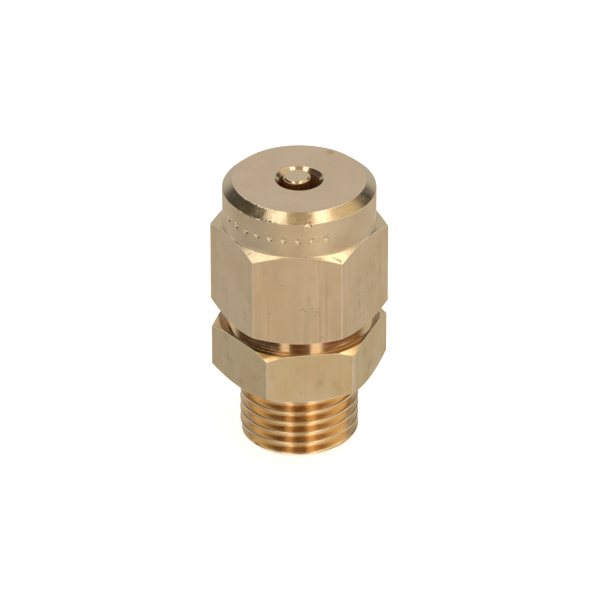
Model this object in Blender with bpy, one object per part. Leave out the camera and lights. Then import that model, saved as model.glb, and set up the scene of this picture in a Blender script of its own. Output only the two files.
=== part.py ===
"""Boiler anti-vacuum valve with a G 1/4 thread.

Two brass hexagons, a valve body and a cap, are screwed together on a soft gasket. Inside, a plunger
stands loose in a guide bush, and its pin shows in the vent hole at the middle of the cap. With no
pressure the plunger lies on the bush and air can enter. Steam lifts it, and its seal disc closes on
the lip round the vent.

The frame: Z is the valve's axis, the thread's end face is at z = 0, and a flat of the body's
hexagon faces -Y.
"""

import math

import bmesh
import bpy
from mathutils import Matrix, Vector

MM = 0.001

# Driving dimensions
ACROSS_FLATS = 17.0 * MM
THREAD_MAJOR_R = 13.157 / 2 * MM  # G 1/4
THREAD_MINOR_R = 11.445 / 2 * MM
THREAD_PITCH = 1.337 * MM
THREAD_FLANK = math.radians(27.5)  # half of the 55 degree thread angle
GAP = 0.03 * MM  # between pieces that lie on each other
TRAVEL = 2.2 * MM  # of the plunger, from the bush to the lip
PIN_R = 1.5 * MM
CAP_TURN = math.radians(-9.8)  # how far the cap stands from the body when it is tight

# Heights, from the thread's end up
HEX_BOTTOM = 8.5 * MM
HEX_TOP = 14.5 * MM
COLLAR_TOP = 15.25 * MM
GASKET_T = 0.64 * MM
CAP_BOTTOM = COLLAR_TOP + GASKET_T + 2 * GAP
CAP_HEX_TOP = CAP_BOTTOM + 11.0 * MM
CAP_TOP = CAP_HEX_TOP + 5.1 * MM

# Radii of the outside
CORNER_R = 9.9 * MM  # of the round blank, just outside the hexagon's corners
COLLAR_R = 8.35 * MM
HEAD_R = 8.46 * MM
TOP_FLAT_R = 7.36 * MM
TOP_CHAMFER_H = 0.95 * MM
WRENCH_CHAMFER = math.tan(math.radians(30))
LEDGE_R = 8.92 * MM  # the lower hexagon's top is flat from the collar out to here

# The thread's run-out and its ends
RELIEF_R = 5.6 * MM
RELIEF_Z = 7.4 * MM
LEAD_CHAMFER = 0.5 * MM
BEARING_R = 6.9 * MM  # outside this the hexagon's underside bears on the boiler, clear of the thread
UNDERCUT = 0.1 * MM  # inside it the underside is dished by this much

# Inside the body
INLET_R = 3.5 * MM
SPIGOT_R = 6.9 * MM
SPIGOT_TOP = 20.2 * MM
SEAT_Z = 14.5 * MM  # the shoulder under the guide bush
BUSH_BORE_R = 5.0 * MM
RING_GROOVE_R = 5.45 * MM

# Inside the cap
CAP_THREAD_R = 7.0 * MM
CHAMBER_R = 6.3 * MM
CHAMBER_FLOOR = 20.6 * MM
LIP_INNER_R = 3.6 * MM
LIP_OUTER_R = 4.2 * MM
LIP_H = 0.5 * MM
RECESS_H = 1.8 * MM
VENT_R = 2.27 * MM
VENT_SINK = 0.42 * MM

# The guide bush
BUSH_R = 4.9 * MM
BUSH_HOLE_R = 1.62 * MM
BUSH_H = 4.1 * MM
HUB_R = 2.2 * MM
HUB_TOP = 20.17 * MM
PORT_R = 0.75 * MM
PORT_CIRCLE_R = 3.1 * MM
PORTS = 6

# The plunger and what is on it
STEM_END = 13.0 * MM
FLANGE_Z = 20.25 * MM
FLANGE_H = 1.65 * MM
FLANGE_R = 4.8 * MM
SPUD_R = 2.2 * MM
SEAL_T = 1.57 * MM
SEAL_R = 4.7 * MM
WASHER_T = 0.5 * MM
WASHER_R = 3.1 * MM
CLIP_T = 0.45 * MM
CLIP_GROOVE_R = 1.15 * MM
PIN_TIP = CAP_TOP + 0.3 * MM
TIP_CHAMFER = 0.2 * MM

# The plunger leans in its bush by the clearance, so the pin stands off the vent's centre
LEAN_PIVOT_Z = 17.4 * MM
LEAN = math.radians(1.13)
LEAN_TOWARDS = math.radians(152)

ROUND = 64  # sides of a round piece
FINE = 40  # sides of a small or an inner one
THREAD_STEPS = 40  # for each turn


def clear_scene():
    for old in list(bpy.data.objects):
        bpy.data.objects.remove(old, do_unlink=True)


def metal(name, colour, roughness, metallic=1.0):
    made = bpy.data.materials.new(name)
    made.use_nodes = True
    shader = made.node_tree.nodes["Principled BSDF"]
    shader.inputs["Base Color"].default_value = (*colour, 1.0)
    shader.inputs["Roughness"].default_value = roughness
    shader.inputs["Metallic"].default_value = metallic
    return made


def add_object(name, bm, material=None):
    """Puts a bmesh into the scene as a named object with smooth round faces."""
    bmesh.ops.remove_doubles(bm, verts=bm.verts, dist=0.001 * MM)
    bmesh.ops.recalc_face_normals(bm, faces=bm.faces)
    mesh = bpy.data.meshes.new(name)
    bm.to_mesh(mesh)
    bm.free()
    mesh.shade_smooth()
    mesh.set_sharp_from_angle(angle=math.radians(28))
    made = bpy.data.objects.new(name, mesh)
    bpy.context.scene.collection.objects.link(made)
    if material:
        made.data.materials.append(material)
    return made


def turned(outline, sides, turn=2 * math.pi):
    """Spins an outline of (radius, height) points round Z. A part turn gets flat end faces."""
    bm = bmesh.new()
    corners = [bm.verts.new((r, 0.0, z)) for r, z in outline]
    axis = {"cent": (0, 0, 0), "axis": (0, 0, 1)}
    if turn < 2 * math.pi:
        face = bm.faces.new(corners)
        geometry = [face, *face.edges, *face.verts]
        bmesh.ops.spin(bm, geom=geometry, angle=turn, steps=sides, **axis)
        close_holes(bm)
        return bm
    solid_core = outline[0][0] == 0.0
    ends = corners[1:] if solid_core else corners[1:] + corners[:1]
    edges = [bm.edges.new(pair) for pair in zip(corners, ends)]
    bmesh.ops.spin(bm, geom=corners + edges, angle=turn, steps=sides, use_merge=True, **axis)
    return bm


def close_holes(bm):
    bmesh.ops.remove_doubles(bm, verts=bm.verts, dist=0.001 * MM)
    rims = [edge for edge in bm.edges if edge.is_boundary]
    if rims:
        bmesh.ops.holes_fill(bm, edges=rims, sides=0)


def helper(name, bm):
    """A cutter or a guide: it shapes other objects and isn't a part itself."""
    made = add_object(name, bm)
    made.hide_render = True
    made.display_type = "WIRE"
    return made


def shape_with(target, tool, operation):
    cut = target.modifiers.new(tool.name, "BOOLEAN")
    cut.operation = operation
    cut.solver = "EXACT"
    cut.object = tool


def hexagon(name, turn):
    """A hexagon bar on the valve's axis, with a flat facing -Y when turn is 0."""
    bm = bmesh.new()
    corner = ACROSS_FLATS / math.sqrt(3)
    bmesh.ops.create_cone(
        bm, cap_ends=True, segments=6, radius1=corner, radius2=corner, depth=4 * CAP_TOP,
        matrix=Matrix.Rotation(turn + math.radians(30), 4, "Z"),
    )
    return helper(name, bm)


def wrench_zone(bottom, top, low_r, low_slope, high_r, high_slope):
    """Outline of a hexagon's blank: a chamfer cone below, the corners' cylinder and a cone above."""
    return [
        (low_r, bottom),
        (CORNER_R, bottom + (CORNER_R - low_r) * low_slope),
        (CORNER_R, top - (CORNER_R - high_r) * high_slope),
        (high_r, top),
    ]


def thread_groove(name):
    """The cutter for the thread: the groove's section, swept up a right-hand helix."""
    root_half = 0.1 * MM
    outside_r = THREAD_MAJOR_R + 0.12 * MM
    outside_half = root_half + (outside_r - THREAD_MINOR_R) * math.tan(THREAD_FLANK)
    section = [
        (THREAD_MINOR_R, -root_half),
        (outside_r, -outside_half),
        (outside_r, outside_half),
        (THREAD_MINOR_R, root_half),
    ]
    # The groove's middle lies half a pitch above the crest that starts at z = 0.53 mm in front (-Y)
    crest_in_front = 0.53 * MM
    start = crest_in_front + THREAD_PITCH / 2 - 2 * THREAD_PITCH
    turns = 7
    bm = bmesh.new()
    corners = [bm.verts.new((r, 0.0, z + start)) for r, z in section]
    face = bm.faces.new(corners)
    bmesh.ops.rotate(bm, verts=corners, cent=(0, 0, 0), matrix=Matrix.Rotation(-math.pi / 2, 3, "Z"))
    bmesh.ops.spin(
        bm, geom=[face, *face.edges, *face.verts], cent=(0, 0, 0), axis=(0, 0, 1),
        dvec=(0, 0, THREAD_PITCH / THREAD_STEPS), angle=turns * 2 * math.pi, steps=turns * THREAD_STEPS,
    )
    close_holes(bm)
    return helper(name, bm)


def make_body(material):
    outline = [
        (INLET_R + 0.4 * MM, 0.0),
        (THREAD_MAJOR_R - LEAD_CHAMFER, 0.0),
        (THREAD_MAJOR_R, LEAD_CHAMFER),
        (THREAD_MAJOR_R, RELIEF_Z),
        (RELIEF_R, RELIEF_Z + 0.4 * MM),
        (RELIEF_R, HEX_BOTTOM + UNDERCUT),
        (BEARING_R, HEX_BOTTOM),
        *wrench_zone(HEX_BOTTOM, HEX_TOP, ACROSS_FLATS / 2, WRENCH_CHAMFER, LEDGE_R, WRENCH_CHAMFER),
        (COLLAR_R, HEX_TOP),
        (COLLAR_R, COLLAR_TOP),
        (SPIGOT_R, COLLAR_TOP),
        (SPIGOT_R, SPIGOT_TOP - 0.4 * MM),
        (SPIGOT_R - 0.4 * MM, SPIGOT_TOP),
        (BUSH_BORE_R + 0.2 * MM, SPIGOT_TOP),
        (BUSH_BORE_R, SPIGOT_TOP - 0.2 * MM),
        (BUSH_BORE_R, SEAT_Z + BUSH_H + 0.92 * MM),
        (RING_GROOVE_R, SEAT_Z + BUSH_H + 0.92 * MM),
        (RING_GROOVE_R, SEAT_Z + BUSH_H + 0.1 * MM),
        (BUSH_BORE_R, SEAT_Z + BUSH_H + 0.1 * MM),
        (BUSH_BORE_R, SEAT_Z),
        (INLET_R + 0.5 * MM, SEAT_Z),
        (INLET_R, SEAT_Z - 0.5 * MM),
        (INLET_R, 0.4 * MM),
    ]
    body = add_object("valve_body", turned(outline, ROUND), material)
    shape_with(body, hexagon("body_hexagon_guide", 0.0), "INTERSECT")
    shape_with(body, thread_groove("thread_groove_cutter"), "DIFFERENCE")
    return body


def make_cap(material):
    lip_bottom = FLANGE_Z + FLANGE_H + SEAL_T + GAP + TRAVEL + 0.1 * MM
    ceiling = lip_bottom + LIP_H
    recess_top = lip_bottom + RECESS_H
    outline = [
        (CAP_THREAD_R + 0.3 * MM, CAP_BOTTOM),
        *wrench_zone(CAP_BOTTOM, CAP_HEX_TOP, ACROSS_FLATS / 2, WRENCH_CHAMFER, HEAD_R, WRENCH_CHAMFER),
        (HEAD_R, CAP_TOP - TOP_CHAMFER_H),
        (TOP_FLAT_R, CAP_TOP),
        (VENT_R + VENT_SINK, CAP_TOP),
        (VENT_R, CAP_TOP - VENT_SINK),
        (VENT_R, recess_top),
        (LIP_INNER_R, recess_top),
        (LIP_INNER_R, lip_bottom),
        (LIP_OUTER_R, lip_bottom),
        (LIP_OUTER_R, ceiling),
        (CHAMBER_R, ceiling),
        (CHAMBER_R, CHAMBER_FLOOR),
        (CAP_THREAD_R, CHAMBER_FLOOR),
        (CAP_THREAD_R, CAP_BOTTOM + 0.3 * MM),
    ]
    cap = add_object("cap", turned(outline, ROUND), material)
    shape_with(cap, hexagon("cap_hexagon_guide", CAP_TURN), "INTERSECT")
    return cap


def ring(name, inner_r, outer_r, bottom, thickness, material, sides=FINE, turn=2 * math.pi):
    outline = [
        (inner_r, bottom),
        (outer_r, bottom),
        (outer_r, bottom + thickness),
        (inner_r, bottom + thickness),
    ]
    return add_object(name, turned(outline, sides, turn), material)


def make_guide_bush(material):
    bottom = SEAT_Z + GAP
    top = bottom + BUSH_H
    outline = [
        (BUSH_HOLE_R, bottom),
        (BUSH_R - 0.2 * MM, bottom),
        (BUSH_R, bottom + 0.2 * MM),
        (BUSH_R, top),
        (HUB_R, top),
        (HUB_R, HUB_TOP),
        (BUSH_HOLE_R, HUB_TOP),
    ]
    bush = add_object("guide_bush", turned(outline, FINE), material)
    for number in range(PORTS):
        angle = 2 * math.pi * (number + 0.5) / PORTS
        place = Vector((PORT_CIRCLE_R * math.cos(angle), PORT_CIRCLE_R * math.sin(angle), SEAT_Z + BUSH_H / 2))
        bm = bmesh.new()
        bmesh.ops.create_cone(
            bm, cap_ends=True, segments=12, radius1=PORT_R, radius2=PORT_R, depth=2 * BUSH_H,
            matrix=Matrix.Translation(place),
        )
        shape_with(bush, helper(f"steam_port_cutter_{number + 1}", bm), "DIFFERENCE")
    return bush


def make_plunger(material):
    flange_top = FLANGE_Z + FLANGE_H
    spud_top = flange_top + SEAL_T + GAP
    clip_bottom = spud_top + GAP + WASHER_T + GAP
    outline = [
        (0.0, STEM_END),
        (PIN_R - 0.3 * MM, STEM_END),
        (PIN_R, STEM_END + 0.3 * MM),
        (PIN_R, FLANGE_Z),
        (FLANGE_R, FLANGE_Z),
        (FLANGE_R, flange_top),
        (SPUD_R, flange_top),
        (SPUD_R, spud_top),
        (PIN_R, spud_top),
        (PIN_R, clip_bottom),
        (CLIP_GROOVE_R, clip_bottom),
        (CLIP_GROOVE_R, clip_bottom + CLIP_T + 2 * GAP),
        (PIN_R, clip_bottom + CLIP_T + 2 * GAP),
        (PIN_R, PIN_TIP - TIP_CHAMFER),
        (PIN_R - TIP_CHAMFER, PIN_TIP),
        (0.0, PIN_TIP),
    ]
    plunger = add_object("plunger", turned(outline, FINE), material)
    return plunger, flange_top, spud_top, clip_bottom


def lean(pieces):
    """Stands the plunger's pieces on an empty on the joint's axis, and leans it in the bush."""
    axis = bpy.data.objects.new("plunger_axis", None)
    bpy.context.scene.collection.objects.link(axis)
    pivot = Vector((0, 0, LEAN_PIVOT_Z))
    for piece in pieces:
        piece.data.transform(Matrix.Translation(-pivot))
        piece.parent = axis
    hinge = Vector((-math.sin(LEAN_TOWARDS), math.cos(LEAN_TOWARDS), 0))
    axis.matrix_world = Matrix.Translation(pivot) @ Matrix.Rotation(LEAN, 4, hinge)


def main():
    clear_scene()
    brass = metal("bar_brass", (0.62, 0.48, 0.27), 0.35)
    cap_brass = metal("cap_brass", (0.62, 0.49, 0.30), 0.32)
    bright_brass = metal("turned_brass", (0.66, 0.47, 0.24), 0.25)
    gasket_metal = metal("soft_gasket", (0.55, 0.35, 0.18), 0.3)
    rubber = metal("black_seal", (0.03, 0.03, 0.03), 0.6, 0.0)
    steel = metal("spring_steel", (0.55, 0.55, 0.56), 0.3)

    make_body(brass)
    make_cap(cap_brass)
    ring("cap_gasket", CAP_THREAD_R, COLLAR_R, COLLAR_TOP + GAP, GASKET_T, gasket_metal, ROUND)

    make_guide_bush(bright_brass)
    bush_ring = ring(
        "bush_retaining_ring", BUSH_BORE_R - 0.65 * MM, RING_GROOVE_R - 0.1 * MM,
        SEAT_Z + BUSH_H + 0.14 * MM, 0.7 * MM, steel, 40, math.radians(320),
    )
    bush_ring.rotation_euler.z = math.radians(110)

    plunger, flange_top, spud_top, clip_bottom = make_plunger(bright_brass)
    seal = ring("seal_disc", SPUD_R + GAP, SEAL_R, flange_top + GAP / 2, SEAL_T, rubber)
    washer = ring("seal_washer", PIN_R + 0.05 * MM, WASHER_R, spud_top + GAP, WASHER_T, steel)
    clip = ring(
        "seal_snap_ring", CLIP_GROOVE_R + GAP, 2.6 * MM, clip_bottom + GAP, CLIP_T, steel,
        27, math.radians(270),
    )
    lean([plunger, seal, washer, clip])


main()
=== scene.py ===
import math

import bmesh
import bpy
from mathutils import Matrix, Vector, noise


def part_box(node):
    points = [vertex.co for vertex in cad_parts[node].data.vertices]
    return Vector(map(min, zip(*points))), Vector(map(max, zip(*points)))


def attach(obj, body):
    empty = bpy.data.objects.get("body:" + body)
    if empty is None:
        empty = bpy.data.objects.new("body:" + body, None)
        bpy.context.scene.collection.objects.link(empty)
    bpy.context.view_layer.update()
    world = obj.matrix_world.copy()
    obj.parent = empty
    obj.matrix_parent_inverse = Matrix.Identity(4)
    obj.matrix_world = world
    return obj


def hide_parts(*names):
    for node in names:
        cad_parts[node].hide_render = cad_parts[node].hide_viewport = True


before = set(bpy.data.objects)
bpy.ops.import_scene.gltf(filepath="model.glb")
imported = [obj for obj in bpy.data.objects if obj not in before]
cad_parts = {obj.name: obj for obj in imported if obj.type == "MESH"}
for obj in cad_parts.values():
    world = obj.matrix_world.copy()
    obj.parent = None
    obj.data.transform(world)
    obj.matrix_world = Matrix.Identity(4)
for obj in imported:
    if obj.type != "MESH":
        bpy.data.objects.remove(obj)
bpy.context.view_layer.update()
print("frame loaded:", ", ".join(sorted(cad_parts)))

# everything is modelled in millimetres and brought to metres in finishPiece
metre = 0.001
mm = 1000.0
mergeGap = 0.0005
cutGap = 0.0001
crispAngle = math.radians(34)  # an edge that bends more than this isn't shaded smooth
cornerSlope = math.tan(math.radians(30))  # the hexagons' corners are turned off at 30 degrees


def heights(node):
    low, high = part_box(node)
    return low.z * mm, high.z * mm


spigotTop = heights("valve_body")[1]
capBottom, capTop = heights("cap")
gasketBottom, gasketTop = heights("cap_gasket")
acrossFlats = (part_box("valve_body")[1].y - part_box("valve_body")[0].y) * mm
collarTop = gasketBottom - 0.012  # a hair below the gasket


# materials

def newMaterial(name, metallic, roughness):
    material = bpy.data.materials.new(name)
    material.use_nodes = True
    shader = material.node_tree.nodes["Principled BSDF"]
    shader.inputs["Metallic"].default_value = metallic
    shader.inputs["Roughness"].default_value = roughness
    return material, material.node_tree, shader


def addNode(tree, kind, links=None, **settings):
    # links: socket name or number -> what feeds it, a socket or a plain value
    node = tree.nodes.new(kind)
    for name, value in settings.items():
        setattr(node, name, value)
    for name, source in (links or {}).items():
        if isinstance(source, bpy.types.NodeSocket):
            tree.links.new(source, node.inputs[name])
        else:
            node.inputs[name].default_value = source
    return node


def maths(tree, operation, a, b=0.0):
    return addNode(tree, "ShaderNodeMath", {0: a, 1: b}, operation=operation).outputs[0]


def mixColour(tree, amount, a, b, blend="MIX"):
    node = addNode(tree, "ShaderNodeMix", data_type="RGBA", blend_type=blend)
    for socket, source in (("Factor_Float", amount), ("A_Color", a), ("B_Color", b)):
        target = next(i for i in node.inputs if i.identifier == socket)
        if isinstance(source, bpy.types.NodeSocket):
            tree.links.new(source, target)
        else:
            target.default_value = source if socket == "Factor_Float" else (*source[:3], 1.0)
    return next(o for o in node.outputs if o.identifier == "Result_Color")


def remap(tree, value, low, high, toLow=0.0, toHigh=1.0):
    links = {"Value": value, "From Min": low, "From Max": high, "To Min": toLow, "To Max": toHigh}
    return addNode(tree, "ShaderNodeMapRange", links, interpolation_type="SMOOTHSTEP").outputs["Result"]


def millimetres(tree, stretch=(1, 1, 1)):
    # object coordinates in millimetres, squeezed along the axes that a pattern runs along
    place = addNode(tree, "ShaderNodeTexCoord").outputs["Object"]
    scale = [mm * s for s in stretch]
    return addNode(tree, "ShaderNodeMapping", {"Vector": place, "Scale": scale}).outputs["Vector"]


def distanceTo(tree, vector, point):
    links = {0: vector, 1: point}
    return addNode(tree, "ShaderNodeVectorMath", links, operation="DISTANCE").outputs["Value"]


def noiseOf(tree, vector, scale, detail=3.0, rough=0.55):
    links = {"Vector": vector, "Scale": scale, "Detail": detail, "Roughness": rough}
    return addNode(tree, "ShaderNodeTexNoise", links).outputs["Fac"]


def ringCoordinates(tree, along, across):
    # fine in radius and height, coarse in angle, so a pattern lies in rings round the axis, as tool marks do
    place = addNode(tree, "ShaderNodeSeparateXYZ", {0: millimetres(tree)}).outputs
    radius = maths(tree, "SQRT", maths(tree, "ADD", maths(tree, "MULTIPLY", place[0], place[0]),
                                       maths(tree, "MULTIPLY", place[1], place[1])))
    angle = maths(tree, "ARCTAN2", place[1], place[0])
    links = {0: maths(tree, "MULTIPLY", radius, across), 1: maths(tree, "MULTIPLY", angle, along),
             2: maths(tree, "MULTIPLY", place[2], across)}
    return addNode(tree, "ShaderNodeCombineXYZ", links).outputs[0]


def bumpOf(tree, height, distance, below=None):
    links = {"Height": height, "Distance": distance * metre, "Strength": 1.0}
    if below is not None:
        links["Normal"] = below
    return addNode(tree, "ShaderNodeBump", links).outputs["Normal"]


scratchColour = (0.46, 0.27, 0.13)
dirtColour = (0.16, 0.09, 0.05)
spotColour = (0.42, 0.24, 0.10)

# colours are in linear light, bumps and places in millimetres
capFlatLook = {
    "colour": (0.79, 0.60, 0.365), "pale": (0.83, 0.65, 0.42), "stain": (0.52, 0.37, 0.19),
    "tarnish": 0.22, "roughness": 0.54, "streakRoughness": 0.12, "streakBump": 0.0026, "pitBump": 0.02,
    "pitAmount": 0.75, "streaks": 0.5, "specksAt": (6.5, -5.4, 19.4), "specksReach": 3.2,
}
bodyFlatLook = {
    "colour": (0.76, 0.58, 0.31), "pale": (0.80, 0.63, 0.39), "stain": (0.48, 0.36, 0.15),
    "tarnish": 0.42, "roughness": 0.52, "streakRoughness": 0.10, "streakBump": 0.0015, "pitBump": 0.02,
    "pitAmount": 0.6, "streaks": 0.25,
}


def grey(tree, value):
    return addNode(tree, "ShaderNodeCombineColor", {0: value, 1: value, 2: value}).outputs[0]


def drawnBrass(name, look):
    # cold drawn bar: fine streaks along the axis, a few dirt specks, cloudy tarnish
    material, tree, shader = newMaterial(name, 1.0, look["roughness"])
    place = millimetres(tree)
    streaks = noiseOf(tree, millimetres(tree, (1, 1, 0.04)), 2.6, 8.0, 0.66)
    hairlines = noiseOf(tree, millimetres(tree, (1, 1, 0.03)), 14.0, 3.0, 0.6)
    clouds = noiseOf(tree, place, 0.20, 3.0)
    blotches = noiseOf(tree, place, 0.55, 4.0, 0.6)
    colour = mixColour(tree, remap(tree, clouds, 0.35, 0.65), look["colour"], look["pale"])
    tarnished = remap(tree, blotches, 0.52, 0.74, 0.0, look["tarnish"])
    colour = mixColour(tree, tarnished, colour, look["stain"])
    shade = remap(tree, streaks, 0.25, 0.75, 1.0 - 0.26 * look["streaks"], 1.0 + 0.18 * look["streaks"])
    patches = noiseOf(tree, millimetres(tree, (1, 1, 0.10)), 0.45, 2.0)
    patches = remap(tree, patches, 0.42, 0.60, 0.25, 1.0)
    streaky = mixColour(tree, 1.0, colour, grey(tree, shade), "MULTIPLY")
    colour = mixColour(tree, patches, colour, streaky)
    scratches = remap(tree, noiseOf(tree, millimetres(tree, (1, 1, 0.03)), 5.5, 2.0, 0.5), 0.69, 0.75)
    scratches = maths(tree, "MULTIPLY", scratches, look["streaks"])
    colour = mixColour(tree, scratches, colour, scratchColour)
    specks = addNode(tree, "ShaderNodeTexVoronoi", {"Vector": place, "Scale": 2.2}).outputs["Distance"]
    dirty = remap(tree, noiseOf(tree, place, 0.42, 2.0), 0.60, 0.66)
    if "specksAt" in look:
        away, reach = distanceTo(tree, place, look["specksAt"]), look["specksReach"]
        dirty = maths(tree, "MAXIMUM", dirty, remap(tree, away, reach * 0.6, reach, 1.0, 0.0))
    speckMask = maths(tree, "MULTIPLY", remap(tree, specks, 0.10, 0.19, 1.0, 0.0), dirty)
    colour = mixColour(tree, maths(tree, "MULTIPLY", speckMask, look["pitAmount"]), colour, dirtColour)
    tree.links.new(colour, shader.inputs["Base Color"])
    half = look["streakRoughness"] / 2
    streaked = remap(tree, streaks, 0.3, 0.7, look["roughness"] - half, look["roughness"] + half)
    rough = maths(tree, "ADD", streaked, maths(tree, "MULTIPLY", clouds, 0.05))
    tree.links.new(rough, shader.inputs["Roughness"])
    surface = bumpOf(tree, streaks, look["streakBump"] * 2)
    surface = bumpOf(tree, hairlines, look["streakBump"], below=surface)
    surface = bumpOf(tree, speckMask, look["pitBump"], below=surface)
    tree.links.new(surface, shader.inputs["Normal"])
    return material


def turnedBrass(name, look):
    # lathe finish: tool marks in rings round the axis over a soft cloudy colour
    material, tree, shader = newMaterial(name, look.get("metallic", 1.0), look["roughness"])
    place = millimetres(tree)
    rings = noiseOf(tree, ringCoordinates(tree, 0.25, 9.0), 1.0, 3.0, 0.6)
    fineRings = noiseOf(tree, ringCoordinates(tree, 0.4, 34.0), 1.0, 1.0)
    worn = noiseOf(tree, place, 2.4, 3.0, 0.6)
    clouds = noiseOf(tree, place, 0.3, 3.0)
    colour = mixColour(tree, remap(tree, clouds, 0.35, 0.65), look["colour"], look["pale"])
    shade = remap(tree, rings, 0.3, 0.7, 1.0 - look["ringShade"], 1.0 + look["ringShade"] / 2)
    colour = mixColour(tree, 1.0, colour, grey(tree, shade), "MULTIPLY")
    spots = maths(tree, "MULTIPLY", remap(tree, worn, 0.64, 0.72), look.get("spots", 0.2))
    colour = mixColour(tree, spots, colour, spotColour)
    if "shadeBelowRadius" in look:
        # painted shade: the thread is darkened below the crests, where it lies in shade
        radius = distanceTo(tree, millimetres(tree, (1, 1, 0)), (0, 0, 0))
        shadeInGroove = remap(tree, radius, look["shadeBelowRadius"] - 0.12, look["shadeBelowRadius"], 1.0, 0.0)
        colour = mixColour(tree, shadeInGroove, colour, look["groove"])
    if "stainAt" in look:
        away, size = distanceTo(tree, place, look["stainAt"]), look["stainSize"]
        blurred = maths(tree, "ADD", away, maths(tree, "MULTIPLY", worn, 0.8))
        stained = remap(tree, blurred, size, size + 0.35, 0.75, 0.0)
        colour = mixColour(tree, stained, colour, look["stain"])
    tree.links.new(colour, shader.inputs["Base Color"])
    grain = look.get("grain", 0.05)
    rough = remap(tree, noiseOf(tree, place, 1.4, 4.0), 0.3, 0.7,
                  look["roughness"] - grain, look["roughness"] + grain)
    tree.links.new(rough, shader.inputs["Roughness"])
    surface = bumpOf(tree, rings, look["ringBump"] * 3)
    surface = bumpOf(tree, fineRings, look["ringBump"], below=surface)
    dents = noiseOf(tree, place, 5.0, 4.0, 0.6)
    surface = bumpOf(tree, dents, look.get("dents", 0.0006), below=surface)
    tree.links.new(surface, shader.inputs["Normal"])
    return material


headLook = {"colour": (0.80, 0.61, 0.37), "pale": (0.85, 0.67, 0.43), "roughness": 0.50,
            "ringShade": 0.03, "ringBump": 0.0006, "spots": 0.20, "dents": 0.004, "grain": 0.06}
faceLook = {"colour": (0.83, 0.635, 0.425), "pale": (0.85, 0.665, 0.455), "roughness": 0.33,
            "ringShade": 0.03, "ringBump": 0.0006, "spots": 0.06,
            "stainAt": (4.2, 5.2, capTop), "stainSize": 0.62, "stain": (0.62, 0.40, 0.13)}
chamferLook = {"colour": (0.86, 0.68, 0.42), "pale": (0.88, 0.70, 0.46), "roughness": 0.19,
               "ringShade": 0.06, "ringBump": 0.001, "grain": 0.07, "dents": 0.004}
ventLook = {"colour": (0.88, 0.69, 0.47), "pale": (0.90, 0.71, 0.50), "roughness": 0.09,
            "ringShade": 0.08, "ringBump": 0.001, "grain": 0.03}
edgeLook = {"colour": (0.94, 0.76, 0.50), "pale": (0.97, 0.81, 0.58), "roughness": 0.46,
            "ringShade": 0.03, "ringBump": 0.0006, "spots": 0.3}
# painted shade: the vent's bore is coloured dark brown and made only partly metal, for the shade down inside
# the hole; its roughness is a real duller finish
boreShadeLook = {"colour": (0.40, 0.20, 0.09), "pale": (0.46, 0.24, 0.11), "roughness": 0.40,
            "ringShade": 0.10, "ringBump": 0.001, "metallic": 0.45}
# painted shade: the ledge on top of the hexagon, in the narrow gap under the cap, is coloured dark brown
ledgeShadeLook = {"colour": (0.45, 0.30, 0.17), "pale": (0.40, 0.26, 0.14), "roughness": 0.20,
             "ringShade": 0.05, "ringBump": 0.0006}
# painted shade: the hexagon's downward faces are coloured dark brown, for the shade under them
undersideShadeLook = {"colour": (0.46, 0.29, 0.14), "pale": (0.40, 0.24, 0.11), "roughness": 0.38,
                 "ringShade": 0.08, "ringBump": 0.001}
collarLook = {"colour": (0.92, 0.64, 0.33), "pale": (0.89, 0.61, 0.30), "roughness": 0.14,
              "ringShade": 0.03, "ringBump": 0.0001, "grain": 0.03}
# painted shade: the thread's colour darkens below the crests, down in the grooves
threadLook = {"colour": (0.92, 0.69, 0.41), "pale": (0.90, 0.65, 0.36), "roughness": 0.185,
              "ringShade": 0.04, "ringBump": 0.0002, "grain": 0.03,
              "shadeBelowRadius": 6.45, "groove": (0.87, 0.60, 0.31)}
gasketLook = {"colour": (0.92, 0.64, 0.34), "pale": (0.89, 0.60, 0.30), "roughness": 0.14,
              "ringShade": 0.03, "ringBump": 0.0001, "grain": 0.03}
pinLook = {"colour": (0.85, 0.66, 0.41), "pale": (0.87, 0.68, 0.44), "roughness": 0.14,
           "ringShade": 0.06, "ringBump": 0.0008}
steelLook = {"colour": (0.56, 0.56, 0.57), "pale": (0.60, 0.60, 0.61), "roughness": 0.28,
             "ringShade": 0.05, "ringBump": 0.0008, "spots": 0.05}


rubberLook = {"colour": (0.022, 0.022, 0.024), "dust": (0.06, 0.058, 0.055), "roughness": (0.5, 0.7)}


def sealRubber(name, look):
    material, tree, shader = newMaterial(name, 0.0, 0.6)
    grain = noiseOf(tree, millimetres(tree), 6.0, 3.0)
    dust = noiseOf(tree, millimetres(tree), 0.9, 2.0)
    colour = mixColour(tree, remap(tree, dust, 0.5, 0.8), look["colour"], look["dust"])
    tree.links.new(colour, shader.inputs["Base Color"])
    tree.links.new(remap(tree, grain, 0.3, 0.7, *look["roughness"]), shader.inputs["Roughness"])
    tree.links.new(bumpOf(tree, grain, 0.01), shader.inputs["Normal"])
    return material


bodyDrawn = drawnBrass("body_drawn_brass", bodyFlatLook)
capDrawn = drawnBrass("cap_drawn_brass", capFlatLook)
headTurned = turnedBrass("head_turned_brass", headLook)
headFace = turnedBrass("head_face_brass", faceLook)
chamferTurned = turnedBrass("chamfer_turned_brass", chamferLook)
ventTurned = turnedBrass("vent_turned_brass", ventLook)
edgeEased = turnedBrass("eased_edge_brass", edgeLook)
boreDullShaded = turnedBrass("bore_dull_shaded_brass", boreShadeLook)
collarTurned = turnedBrass("collar_turned_brass", collarLook)
ledgeShaded = turnedBrass("ledge_shaded_brass", ledgeShadeLook)
undersideShaded = turnedBrass("underside_shaded_brass", undersideShadeLook)
threadCut = turnedBrass("thread_cut_brass", threadLook)
gasketSoft = turnedBrass("gasket_soft_metal", gasketLook)
pinTurned = turnedBrass("pin_turned_brass", pinLook)
ringSteel = turnedBrass("ring_spring_steel", steelLook)
discRubber = sealRubber("disc_black_rubber", rubberLook)
print("materials made")


# tools that shape a mesh

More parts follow.
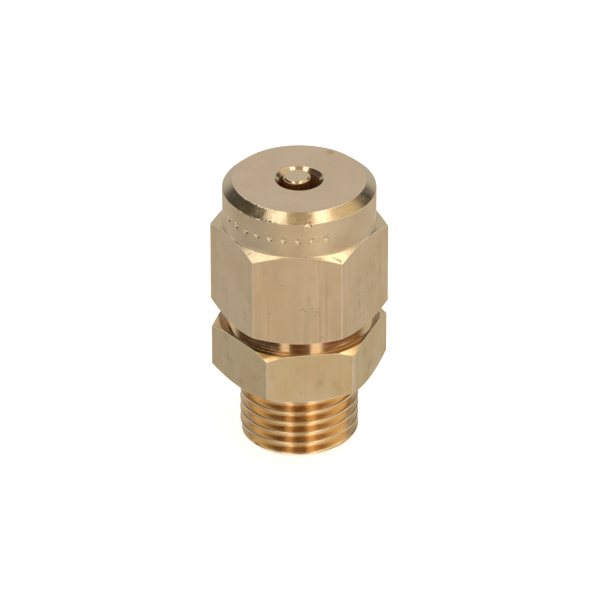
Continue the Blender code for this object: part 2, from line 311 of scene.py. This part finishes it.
def drawOutline(bm, corners, closed=False, segments=4):
    # corners: (radius, height, rounding); a rounding bevels that corner into an arc
    verts = [bm.verts.new((r, 0.0, z)) for r, z, _ in corners]
    ends = verts[1:] + verts[:1] if closed else verts[1:]
    for pair in zip(verts, ends):
        bm.edges.new(pair)
    for vert, (_, _, rounding) in zip(verts, corners):
        if rounding:
            bmesh.ops.bevel(bm, geom=[vert], offset=rounding, offset_type="OFFSET", segments=segments,
                            profile=0.5, affect="VERTICES", material=-1)


def spinRound(bm, steps):
    bmesh.ops.spin(bm, geom=bm.verts[:] + bm.edges[:], cent=(0, 0, 0), axis=(0, 0, 1),
                   angle=math.tau, steps=steps, use_merge=True)
    bmesh.ops.remove_doubles(bm, verts=bm.verts, dist=mergeGap)


def turnedMesh(corners, steps, closed=True):
    bm = bmesh.new()
    drawOutline(bm, corners, closed)
    spinRound(bm, steps)
    bmesh.ops.recalc_face_normals(bm, faces=bm.faces)
    return bm


def mill(bm, radius, easing, material, border):
    # six wrench flats: each plane cuts the round blank, and the cut is closed and gets an eased border
    sunk = easing * 0.35
    for side in range(6):
        outward = Matrix.Rotation(math.radians(60 * side), 3, "Z") @ Vector((0, -1, 0))
        cut = bmesh.ops.bisect_plane(bm, geom=bm.verts[:] + bm.edges[:] + bm.faces[:], dist=cutGap,
                                     plane_co=outward * (radius - sunk), plane_no=outward,
                                     clear_outer=True)
        rim = [e for e in cut["geom_cut"] if isinstance(e, bmesh.types.BMEdge)]
        bmesh.ops.holes_fill(bm, edges=rim, sides=0)
    bmesh.ops.remove_doubles(bm, verts=bm.verts, dist=mergeGap)
    bmesh.ops.recalc_face_normals(bm, faces=bm.faces)
    flats = [f for f in bm.faces if len(f.verts) > 20 and abs(f.normal.z) < 0.01]
    bmesh.ops.inset_individual(bm, faces=flats, thickness=easing, depth=sunk, use_even_offset=True)
    for face in flats:
        face.material_index = material
        for edge in face.edges:
            for eased in edge.link_faces:
                eased.material_index = material if eased in flats else border


def standIn(name, bm):
    mesh = bpy.data.meshes.new(name)
    bm.to_mesh(mesh)
    bm.free()
    thing = bpy.data.objects.new(name, mesh)
    bpy.context.scene.collection.objects.link(thing)
    return thing


def cutAway(bm, tools):
    # takes the tools' shapes out of the mesh and returns the cut mesh
    blank, cutter = standIn("blank", bm), standIn("cutter", tools)
    cut = blank.modifiers.new("cut", "BOOLEAN")
    cut.operation, cut.solver, cut.object = "DIFFERENCE", "EXACT", cutter
    evaluated = blank.evaluated_get(bpy.context.evaluated_depsgraph_get())
    result = bmesh.new()
    result.from_mesh(evaluated.to_mesh())
    evaluated.to_mesh_clear()
    for thing in (blank, cutter):
        mesh = thing.data
        bpy.data.objects.remove(thing)
        bpy.data.meshes.remove(mesh)
    return result


def openRim(bm, height):
    return [e for e in bm.edges if e.is_boundary and abs(e.verts[0].co.z - height) < 0.001
            and abs(e.verts[1].co.z - height) < 0.001]


def evenNormals(bm):
    # at each corner the smooth faces round it are averaged, the larger ones counting for more
    for edge in bm.edges:
        edge.smooth = edge.is_manifold and edge.calc_face_angle() < crispAngle
    weighted = {face: face.normal * face.calc_area() for face in bm.faces}
    directions = {}
    for vert in bm.verts:
        waiting = {loop.face: loop for loop in vert.link_loops}
        while waiting:
            fan = [waiting.popitem()]
            for face, loop in fan:
                for edge in (loop.edge, loop.link_loop_prev.edge):
                    for other in edge.link_faces if edge.smooth else ():
                        if other in waiting:
                            fan.append((other, waiting.pop(other)))
            direction = sum((weighted[face] for face, loop in fan), Vector()).normalized()
            directions.update((loop, direction) for face, loop in fan)
    return [directions[loop] for face in bm.faces for loop in face.loops]


def finishPiece(name, bm, materials, body, node):
    bm.normal_update()
    normals = evenNormals(bm)
    bmesh.ops.scale(bm, vec=(metre, metre, metre), verts=bm.verts)
    mesh = bpy.data.meshes.new(name)
    bm.to_mesh(mesh)
    bm.free()
    mesh.polygons.foreach_set("use_smooth", [True] * len(mesh.polygons))
    mesh.normals_split_custom_set(normals)
    piece = bpy.data.objects.new(name, mesh)
    bpy.context.scene.collection.objects.link(piece)
    for material in materials:
        mesh.materials.append(material)
    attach(piece, body)
    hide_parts(node)
    print(name, "has", len(mesh.polygons), "faces")


# valve body: G 1/4 thread, hexagon, collar, spigot
bodyShape = {
    "steps": 180,
    "threadPitch": 1.337, "pitchRadius": 6.15, "crestRounding": 0.35, "rootRounding": 0.41,
    "crestRadius": 6.585, "crestInFront": 0.53,
    "threadEnd": 7.4, "reliefRadius": 5.6, "leadRadius": 6.08, "runOutRadius": 6.6, "runOutSlope": 2.4,
    "hexBottom": 8.5, "hexTop": 14.5, "blankRadius": 9.9, "easing": 0.07, "bearing": 6.9, "dish": 0.1,
    "wornCorner": 30.0, "wornRadius": 9.70,
    "collarRadius": 8.35, "ledgeRadius": 8.92, "spigotRadius": 6.9,
    "inletRadius": 3.5, "bushBore": 5.0, "bushSeat": 14.5, "ringGroove": 5.45,
    "grooveAboveSeat": 4.2, "grooveHeight": 0.82,
}
bodyFinishes = [collarTurned, bodyDrawn, threadCut, edgeEased, ledgeShaded, undersideShaded]


def threadLimit(z):
    # the lead chamfer below and the relief above cut the thread down to these radii
    s = bodyShape
    lead = s["leadRadius"] + z
    relief = max(s["reliefRadius"], s["runOutRadius"] - (z - s["threadEnd"]) * s["runOutSlope"])
    return min(lead, relief, s["crestRadius"])


def makeThread(bm, top):
    # one pitch of the rounded 55 degree form, swept up its helix so that each turn meets the next
    s = bodyShape
    pitch = s["threadPitch"]
    sharpHeight = 0.960491 * pitch  # of the full 55 degree triangle
    start = s["crestInFront"] - 2.75 * pitch  # below the thread's end, where it is cut off
    turns = math.ceil((top - start) / pitch) + 1
    corners = [(s["pitchRadius"], start - pitch / 4, 0),
               (s["pitchRadius"] + sharpHeight / 2, start, s["crestRounding"]),
               (s["pitchRadius"], start + pitch / 4, 0),
               (s["pitchRadius"] - sharpHeight / 2, start + pitch / 2, s["rootRounding"]),
               (s["pitchRadius"], start + 3 * pitch / 4, 0)]
    drawOutline(bm, corners, segments=6)
    bmesh.ops.spin(bm, geom=bm.verts[:] + bm.edges[:], cent=(0, 0, 0), axis=(0, 0, 1),
                   dvec=(0, 0, pitch / s["steps"]), angle=math.tau, steps=s["steps"])
    oneTurn = bm.verts[:] + bm.edges[:] + bm.faces[:]
    for turn in range(1, turns):
        copied = bmesh.ops.duplicate(bm, geom=oneTurn)["geom"]
        bmesh.ops.translate(bm, verts=[v for v in copied if isinstance(v, bmesh.types.BMVert)],
                            vec=(0, 0, pitch * turn))
    bmesh.ops.remove_doubles(bm, verts=bm.verts, dist=mergeGap)
    for vert in bm.verts:
        radius = math.hypot(vert.co.x, vert.co.y)
        limit = max(threadLimit(vert.co.z), 1.0)
        if radius > limit:
            vert.co.x *= limit / radius
            vert.co.y *= limit / radius
    for height, outward in ((0.0, -1), (top, 1)):
        bmesh.ops.bisect_plane(bm, geom=bm.verts[:] + bm.edges[:] + bm.faces[:], dist=cutGap,
                               plane_co=(0, 0, height), plane_no=(0, 0, outward), clear_outer=True)


def makeBody():
    s = bodyShape
    threadTop = s["hexBottom"] - 0.3  # in the relief, where the thread's mesh is joined on
    reliefStart = threadTop + 0.1
    blank, flat = s["blankRadius"], acrossFlats / 2
    below = (blank - flat) * cornerSlope
    above = (blank - s["ledgeRadius"]) * cornerSlope
    bore, groove = s["bushBore"], s["ringGroove"]
    grooveBottom = s["bushSeat"] + s["grooveAboveSeat"]
    grooveTop = grooveBottom + s["grooveHeight"]
    corners = [
        (s["reliefRadius"], reliefStart, 0), (s["reliefRadius"], s["hexBottom"] + s["dish"], 0.15),
        (s["bearing"], s["hexBottom"], 0), (flat - 0.03, s["hexBottom"], 0.03),
        (blank, s["hexBottom"] + below, 0), (blank, s["hexTop"] - above, 0),
        (s["ledgeRadius"], s["hexTop"], 0.05), (s["collarRadius"], s["hexTop"], 0.04),
        (s["collarRadius"], collarTop, 0.015), (s["spigotRadius"], collarTop, 0.1),
        (s["spigotRadius"], spigotTop - 0.4, 0.05), (s["spigotRadius"] - 0.4, spigotTop, 0.05),
        (bore + 0.2, spigotTop, 0), (bore, spigotTop - 0.2, 0),
        (bore, grooveTop, 0), (groove, grooveTop, 0), (groove, grooveBottom, 0),
        (bore, grooveBottom, 0), (bore, s["bushSeat"], 0.1),
        (s["inletRadius"] + 0.5, s["bushSeat"], 0.05), (s["inletRadius"], s["bushSeat"] - 0.5, 0.05),
        (s["inletRadius"], 0.4, 0.05), (s["inletRadius"] + 0.4, 0.0, 0),
    ]
    bm = turnedMesh(corners, s["steps"], closed=False)
    # the worn corner of the hexagon
    worn = Matrix.Rotation(math.radians(s["wornCorner"]), 3, "Z") @ Vector((0, -1, 0))
    cut = bmesh.ops.bisect_plane(bm, geom=bm.verts[:] + bm.edges[:] + bm.faces[:], dist=cutGap,
                                 plane_co=worn * s["wornRadius"], plane_no=worn, clear_outer=True)
    rim = [e for e in cut["geom_cut"] if isinstance(e, bmesh.types.BMEdge)]
    for face in bmesh.ops.holes_fill(bm, edges=rim, sides=0)["faces"]:
        face.material_index = bodyFinishes.index(edgeEased)
    mill(bm, flat, s["easing"], bodyFinishes.index(bodyDrawn), bodyFinishes.index(edgeEased))
    # painted shade: the ledge and the hexagon's downward faces take the darkened finishes
    for face in bm.faces:
        height = face.calc_center_median().z
        if face.normal.z > 0.95 and abs(height - s["hexTop"]) < 0.02:
            face.material_index = bodyFinishes.index(ledgeShaded)
        elif height < s["hexBottom"] + s["dish"] + 0.01 and face.normal.z < -0.5:
            face.material_index = bodyFinishes.index(undersideShaded)
    thread = bmesh.new()
    makeThread(thread, threadTop)
    for face in thread.faces:
        face.material_index = bodyFinishes.index(threadCut)
    threadMesh = bpy.data.meshes.new("thread")
    thread.to_mesh(threadMesh)
    thread.free()
    bm.from_mesh(threadMesh)
    bpy.data.meshes.remove(threadMesh)
    bmesh.ops.bridge_loops(bm, edges=openRim(bm, 0.0))
    bmesh.ops.bridge_loops(bm, edges=openRim(bm, threadTop) + openRim(bm, reliefStart))
    bmesh.ops.remove_doubles(bm, verts=bm.verts, dist=mergeGap)
    bmesh.ops.recalc_face_normals(bm, faces=bm.faces)
    finishPiece("valve_body_fine", bm, bodyFinishes, "valve", "valve_body")


makeBody()


# cap: upper hexagon, round head, vent
capShape = {
    "steps": 360, "turn": -9.8,
    "hexTop": capTop - 5.1, "blankRadius": 9.9, "easing": 0.07, "headRadius": 8.46,
    "topRadius": 7.36, "topChamfer": 0.95, "ventRadius": 2.27, "ventSink": 0.42,
    "threadRadius": 7.0, "chamberRadius": 6.3, "chamberFloor": 20.6,
    "lipBottom": 25.8, "lipHeight": 0.5, "recessHeight": 1.8, "lipInner": 3.6, "lipOuter": 4.2,
    # nicks: degrees round from the front, height, lean from upright, length,
    # half width at one end and at the other, how far the tool stands proud of the surface
    "nicks": [(68.5, 28.4, 24, 1.9, 0.05, 0.18, 0.03), (71.5, 28.0, 20, 1.5, 0.05, 0.16, 0.03),
              (-2.9, 31.05, 76, 1.0, 0.05, 0.52, 0.14)],
    # scratches on the sloping corners: degrees round, radius, heading from straight outwards,
    # length, half width at either end
    "scratches": [(18.0, 9.12, 40, 1.2, 0.08, 0.18), (-46.0, 9.05, -25, 0.6, 0.12, 0.09)],
    # one plain row of centre punch dots round the left of the head
    "dotBall": 0.42, "dotProud": 0.20, "dotHeight": 29.0,
    "dotsFrom": -73.0, "dotStep": 10.6, "dotCount": 9,
    # the torn burr along one stretch of the edges, and a slight ripple all round them
    "burrFrom": -66.0, "burrTo": -18.0, "burrDepth": 0.17, "burrGrain": 6.0, "burrReach": 0.09,
    "ripple": 0.05, "rippleGrain": 1.1,
}
capFinishes = [chamferTurned, capDrawn, headTurned, headFace, edgeEased, ventTurned, boreDullShaded]


def turnTo(degrees, axis="Z"):
    return Matrix.Rotation(math.radians(degrees), 4, axis)


def taperedTool(tools, length, low, high, place):
    tool = bmesh.ops.create_cone(tools, cap_ends=True, segments=10, radius1=low, radius2=high,
                                 depth=length)
    bmesh.ops.transform(tools, matrix=place, verts=tool["verts"])


def nickTools(radius):
    # slim tapered tools laid on the head and on the sloping corners, and balls for the dots
    s = capShape
    tools = bmesh.new()
    for turn, height, lean, length, low, high, proud in s["nicks"]:
        place = turnTo(turn) @ Matrix.Translation((0, -radius - proud, height)) @ turnTo(lean, "Y")
        taperedTool(tools, length, low, high, place)
    shoulder = s["hexTop"] + radius * cornerSlope
    for turn, out, heading, length, low, high in s["scratches"]:
        place = (turnTo(turn) @ Matrix.Translation((0, -out, shoulder - out * cornerSlope))
                 @ turnTo(30, "X") @ turnTo(heading) @ turnTo(90, "X"))
        taperedTool(tools, length, low, high, place)
    for dot in range(s["dotCount"]):
        place = (turnTo(s["dotsFrom"] + s["dotStep"] * dot)
                 @ Matrix.Translation((0, -radius - s["dotProud"], s["dotHeight"])))
        bmesh.ops.create_icosphere(tools, subdivisions=3, radius=s["dotBall"], matrix=place)
    return tools


def roughenEdge(bm, radius, height, amount):
    s = capShape
    middle = (s["burrFrom"] + s["burrTo"]) / 2
    half = (s["burrTo"] - s["burrFrom"]) / 2
    for vert in bm.verts:
        out = math.hypot(vert.co.x, vert.co.y)
        if abs(out - radius) < s["burrReach"] and abs(vert.co.z - height) < s["burrReach"]:
            turn = math.degrees(math.atan2(vert.co.x, -vert.co.y))
            near = max(0.0, 1.0 - (abs(turn - middle) / half) ** 2)
            torn = (noise.noise(vert.co * s["burrGrain"]) * near
                    + s["ripple"] * noise.noise(vert.co * s["rippleGrain"]))
            vert.co.z -= abs(torn) * amount
            vert.co.x *= 1 + torn * amount / radius
            vert.co.y *= 1 + torn * amount / radius


def makeCap():
    s = capShape
    blank, flat, head = s["blankRadius"], acrossFlats / 2, s["headRadius"]
    ceiling, recess = s["lipBottom"] + s["lipHeight"], s["lipBottom"] + s["recessHeight"]
    chamferBottom = capTop - s["topChamfer"]
    across, up, margin = 0.121, 0.105, 0.16  # rings close beside the edges, which keep the burr narrow
    corners = [
        (s["threadRadius"] + 0.3, capBottom, 0.03), (flat - 0.05, capBottom, 0.05),
        (blank, capBottom + (blank - flat) * cornerSlope, 0),
        (blank, s["hexTop"] - (blank - head) * cornerSlope, 0),
        (head, s["hexTop"], 0.06), (head, s["hexTop"] + 0.2, 0), (head, chamferBottom - margin, 0),
        (head, chamferBottom, 0.05), (head - across, chamferBottom + up, 0),
        (s["topRadius"] + across, capTop - up, 0), (s["topRadius"], capTop, 0.05),
        (s["topRadius"] - margin, capTop, 0), (s["ventRadius"] + s["ventSink"], capTop, 0.03),
        (s["ventRadius"], capTop - s["ventSink"], 0.03), (s["ventRadius"], recess, 0),
        (s["lipInner"], recess, 0), (s["lipInner"], s["lipBottom"], 0.04),
        (s["lipOuter"], s["lipBottom"], 0.04),
        (s["lipOuter"], ceiling, 0), (s["chamberRadius"], ceiling, 0.2),
        (s["chamberRadius"], s["chamberFloor"], 0.05), (s["threadRadius"], s["chamberFloor"], 0.05),
        (s["threadRadius"], capBottom + 0.3, 0.03),
    ]
    bm = turnedMesh(corners, s["steps"])
    mill(bm, flat, s["easing"], capFinishes.index(capDrawn), capFinishes.index(edgeEased))
    bmesh.ops.rotate(bm, verts=bm.verts, cent=(0, 0, 0), matrix=turnTo(s["turn"]).to_3x3())
    roughenEdge(bm, s["topRadius"], capTop, s["burrDepth"])
    roughenEdge(bm, head, chamferBottom, s["burrDepth"] * 0.7)
    bm = cutAway(bm, nickTools(head))
    # the vent's bore below its rim takes the finish with painted shade
    for face in bm.faces:
        if face.material_index:
            continue  # a milled flat or its eased border
        radii = [math.hypot(v.co.x, v.co.y) for v in face.verts]
        height = face.calc_center_median().z
        if min(radii) > s["topRadius"] - 0.01 and max(abs(r - head) for r in radii) < 0.01:
            face.material_index = capFinishes.index(headTurned)
        elif face.normal.z > 0.97 and height > capTop - 0.15 and max(radii) < s["topRadius"] + 0.05:
            face.material_index = capFinishes.index(headFace)
        elif max(radii) < s["ventRadius"] + s["ventSink"] + 0.05:
            onRim = height > capTop - s["ventSink"] - 0.02
            face.material_index = capFinishes.index(ventTurned if onRim else boreDullShaded)
    finishPiece("cap_fine", bm, capFinishes, "valve", "cap")


makeCap()


# gasket between collar and cap
gasketShape = {"steps": 240, "inner": 7.0, "outer": 8.35, "rounding": 0.015}


def makeGasket():
    s = gasketShape
    corners = [(s["inner"], gasketBottom, 0.05), (s["outer"], gasketBottom, s["rounding"]),
               (s["outer"], gasketTop, s["rounding"]), (s["inner"], gasketTop, 0.05)]
    bm = turnedMesh(corners, s["steps"])
    finishPiece("cap_gasket_fine", bm, [gasketSoft], "valve", "cap_gasket")


makeGasket()


# plunger, leaning in its bush by the clearance
plungerShape = {
    "steps": 96, "pinRadius": 1.5, "tip": capTop + 0.3, "tipChamfer": 0.2, "stemEnd": 13.0,
    "flangeBottom": 20.25, "flangeTop": 21.9, "flangeRadius": 4.8, "spudRadius": 2.2, "spudTop": 23.5,
    "grooveBottom": 24.06, "grooveTop": 24.57, "grooveRadius": 1.15,
    "pivotHeight": 17.4, "lean": 1.13, "towards": 152.0,
}


def leanOver(bm):
    s = plungerShape
    towards = math.radians(s["towards"])
    axis = Vector((-math.sin(towards), math.cos(towards), 0))
    bmesh.ops.rotate(bm, verts=bm.verts, cent=(0, 0, s["pivotHeight"]),
                     matrix=Matrix.Rotation(math.radians(s["lean"]), 3, axis))


def makePlunger():
    s = plungerShape
    pin, tip = s["pinRadius"], s["tip"]
    corners = [
        (0.0, s["stemEnd"], 0), (pin - 0.3, s["stemEnd"], 0.05), (pin, s["stemEnd"] + 0.3, 0.05),
        (pin, s["flangeBottom"], 0.1), (s["flangeRadius"], s["flangeBottom"], 0.12),
        (s["flangeRadius"], s["flangeTop"], 0.12), (s["spudRadius"], s["flangeTop"], 0.05),
        (s["spudRadius"], s["spudTop"], 0.08), (pin, s["spudTop"], 0), (pin, s["grooveBottom"], 0),
        (s["grooveRadius"], s["grooveBottom"], 0), (s["grooveRadius"], s["grooveTop"], 0),
        (pin, s["grooveTop"], 0), (pin, tip - s["tipChamfer"], 0.05),
        (pin - s["tipChamfer"], tip, 0.05), (0.0, tip, 0),
    ]
    bm = turnedMesh(corners, s["steps"], closed=False)
    leanOver(bm)
    finishPiece("plunger_fine", bm, [pinTurned], "plunger_group", "plunger")


makePlunger()

# the inner pieces keep their own meshes and get a finish
innerMaterials = {"guide_bush": pinTurned, "bush_retaining_ring": ringSteel, "seal_disc": discRubber,
                  "seal_washer": ringSteel, "seal_snap_ring": ringSteel}
for node, material in innerMaterials.items():
    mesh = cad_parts[node].data
    mesh.materials.clear()
    mesh.materials.append(material)
print("inner pieces finished")


# floor, light, camera
cameraSetup = {"azimuth": -8.4, "elevation": 31.0, "distance": 0.70, "lens": 380.0,
               "aimHeight": 0.01654, "aimRight": 0.00008}
# brightness of each part of the surroundings, as seen from the valve
studioSetup = {
    # where each light starts and ends sideways, how much the left one narrows upwards
    "bandLeft": (0.20, 0.26, 0.36, 0.52), "bandRight": (0.22, 0.30, 0.46, 0.66), "bandLean": 0.16,
    "bandLow": 0.80, "bandHigh": 1.12, "bandBehind": (0.35, 0.65), "bandFoot": (-0.76, -0.68),
    "table": 1.12, "tableEdge": (-0.84, -0.72),
    # the soft borders between below, level and above, and between front and back
    "low": (-0.50, -0.36), "high": (0.10, 0.35), "frontEdge": (0.15, 0.5),
    "lowLeft": 0.06, "lowMiddle": 0.12, "lowRight": 0.20, "lowColour": (1.0, 0.45, 0.20),
    "levelLeft": 0.85, "levelMiddle": 0.44, "levelRight": 0.98, "coolColour": (0.93, 1.0, 1.08),
    "aboveMiddle": 0.41, "aboveLeft": 0.15, "aboveFarLeft": 0.08, "aboveRight": 0.68,
    "paleColour": (1.0, 0.85, 0.62),
    "backLow": 0.49, "backHigh": 0.58, "backSide": 0.07, "backBelowLeft": 0.65, "backBelowRight": 0.55,
    "floorGlow": 0.62, "floorSize": 1.5, "floorDrop": 0.00002,
}


def makeFloor():
    bm = bmesh.new()
    bmesh.ops.create_grid(bm, x_segments=1, y_segments=1, size=studioSetup["floorSize"])
    mesh = bpy.data.meshes.new("studio_floor")
    bm.to_mesh(mesh)
    bm.free()
    floor = bpy.data.objects.new("studio_floor", mesh)
    floor.location.z = -studioSetup["floorDrop"]
    bpy.context.scene.collection.objects.link(floor)
    material, tree, shader = newMaterial("pale_floor", 0.0, 0.9)
    shader.inputs["Base Color"].default_value = (0.93, 0.93, 0.93, 1)
    shader.inputs["Specular IOR Level"].default_value = 0.0
    shader.inputs["Emission Color"].default_value = (1, 1, 1, 1)
    shader.inputs["Emission Strength"].default_value = studioSetup["floorGlow"]
    mesh.materials.append(material)
    floor.visible_glossy = False  # the metal shows the soft lights below it, not a flat white floor
    floor.visible_shadow = False


def total(tree, *terms):
    result = terms[0]
    for term in terms[1:]:
        result = maths(tree, "ADD", result, term)
    return result


def product(tree, *factors):
    result = factors[0]
    for factor in factors[1:]:
        result = maths(tree, "MULTIPLY", result, factor)
    return result


def rest(tree, share):
    return maths(tree, "SUBTRACT", 1.0, share)


def makeSky():
    # two long soft lights on either side of the camera line, and zones of grey between and behind them
    s = studioSetup
    world = bpy.data.worlds.new("studio_light")
    bpy.context.scene.world = world
    world.use_nodes = True
    tree = world.node_tree
    way = addNode(tree, "ShaderNodeTexCoord").outputs["Generated"]
    turn = (0, 0, -math.radians(cameraSetup["azimuth"]))
    turned = addNode(tree, "ShaderNodeMapping", {"Vector": way, "Rotation": turn}).outputs[0]
    x, y, z = addNode(tree, "ShaderNodeSeparateXYZ", {0: turned}).outputs
    depth = maths(tree, "SQRT", total(tree, product(tree, y, y), product(tree, z, z)))
    side = maths(tree, "DIVIDE", x, maths(tree, "MAXIMUM", depth, 0.02))
    otherSide = product(tree, side, -1.0)
    below = remap(tree, z, *s["low"], 1.0, 0.0)
    above = remap(tree, z, *s["high"])
    level = rest(tree, total(tree, below, above))
    # the two lights, which end a little behind the valve
    inner, soft, outer, end = s["bandLeft"]
    outwards = maths(tree, "SUBTRACT", otherSide, remap(tree, z, 0.3, 0.7, 0.0, s["bandLean"]))
    left = product(tree, remap(tree, otherSide, inner, soft),
                   remap(tree, outwards, outer, end, 1.0, 0.0))
    inner, soft, outer, end = s["bandRight"]
    right = product(tree, remap(tree, side, inner, soft), remap(tree, side, outer, end, 1.0, 0.0))
    strength = remap(tree, z, 0.3, 0.8, s["bandLow"], s["bandHigh"])
    ends = product(tree, remap(tree, y, *s["bandBehind"], 1.0, 0.0), remap(tree, z, *s["bandFoot"]))
    bands = product(tree, total(tree, left, right), ends, strength)
    # in front: below, level with the valve, above
    front = remap(tree, y, *s["frontEdge"], 1.0, 0.0)
    toRight = remap(tree, side, 0.1, 0.5)
    toLeft = remap(tree, otherSide, 0.2, 0.6)
    farLeft = remap(tree, otherSide, 0.62, 0.95)
    middle = rest(tree, total(tree, toLeft, toRight))
    lowPart = product(tree, front, below, total(tree, product(tree, middle, s["lowMiddle"]),
                      product(tree, toLeft, s["lowLeft"]), product(tree, toRight, s["lowRight"])))
    aboveLeft = total(tree, product(tree, rest(tree, farLeft), s["aboveLeft"]),
                      product(tree, farLeft, s["aboveFarLeft"]))
    highPart = product(tree, front, above, total(tree, product(tree, middle, s["aboveMiddle"]),
                       product(tree, toLeft, aboveLeft), product(tree, toRight, s["aboveRight"])))
    levelRight = remap(tree, x, 0.15, 0.6)
    levelLeft = remap(tree, x, -0.6, -0.15, 1.0, 0.0)
    levelMiddle = rest(tree, total(tree, levelLeft, levelRight))
    levelSides = product(tree, front, level, total(tree, product(tree, levelLeft, s["levelLeft"]),
                                                   product(tree, levelRight, s["levelRight"])))
    levelWarm = product(tree, front, level, levelMiddle, s["levelMiddle"])
    # behind: below, a dark stretch on either side above, and a pale middle
    flank = remap(tree, maths(tree, "ABSOLUTE", side), 0.55, 0.8)
    onRight = maths(tree, "GREATER_THAN", x, 0.0)
    backBelow = total(tree, product(tree, rest(tree, onRight), s["backBelowLeft"]),
                      product(tree, onRight, s["backBelowRight"]))
    backAbove = total(tree, product(tree, rest(tree, flank), s["backHigh"]),
                      product(tree, flank, s["backSide"]))
    backPart = product(tree, rest(tree, front), total(tree, product(tree, below, backBelow),
                       product(tree, level, s["backLow"]), product(tree, above, backAbove)))
    # straight down is the pale table
    table = remap(tree, z, *s["tableEdge"], 1.0, 0.0)
    clear = rest(tree, table)
    light = grey(tree, total(tree, bands, product(tree, clear, backPart),
                             product(tree, table, s["table"])))
    palePart = total(tree, highPart, levelWarm)
    for amount, colour in ((lowPart, s["lowColour"]), (palePart, s["paleColour"]),
                           (levelSides, s["coolColour"])):
        plain = grey(tree, product(tree, clear, amount))
        tinted = addNode(tree, "ShaderNodeVectorMath", {0: plain, 1: colour}, operation="MULTIPLY")
        both = addNode(tree, "ShaderNodeVectorMath", {0: light, 1: tinted.outputs[0]}, operation="ADD")
        light = both.outputs[0]
    background = tree.nodes["Background"]
    background.inputs["Strength"].default_value = 1.0
    tree.links.new(light, background.inputs["Color"])


def makeCamera():
    s = cameraSetup
    azimuth, elevation = math.radians(s["azimuth"]), math.radians(s["elevation"])
    right = Vector((math.cos(azimuth), math.sin(azimuth), 0))
    back = Vector((math.sin(azimuth) * math.cos(elevation), -math.cos(azimuth) * math.cos(elevation),
                   math.sin(elevation)))
    data = bpy.data.cameras.new("camera")
    data.lens = s["lens"]
    data.sensor_width = 36.0
    camera = bpy.data.objects.new("camera", data)
    bpy.context.scene.collection.objects.link(camera)
    aim = Vector((0, 0, s["aimHeight"])) + right * s["aimRight"]
    camera.location = aim + back * s["distance"]
    camera.rotation_euler = back.to_track_quat("Z", "Y").to_euler()
    bpy.context.scene.camera = camera


makeFloor()
makeSky()
makeCamera()
bpy.context.scene.view_settings.view_transform = "Standard"
print("studio made")
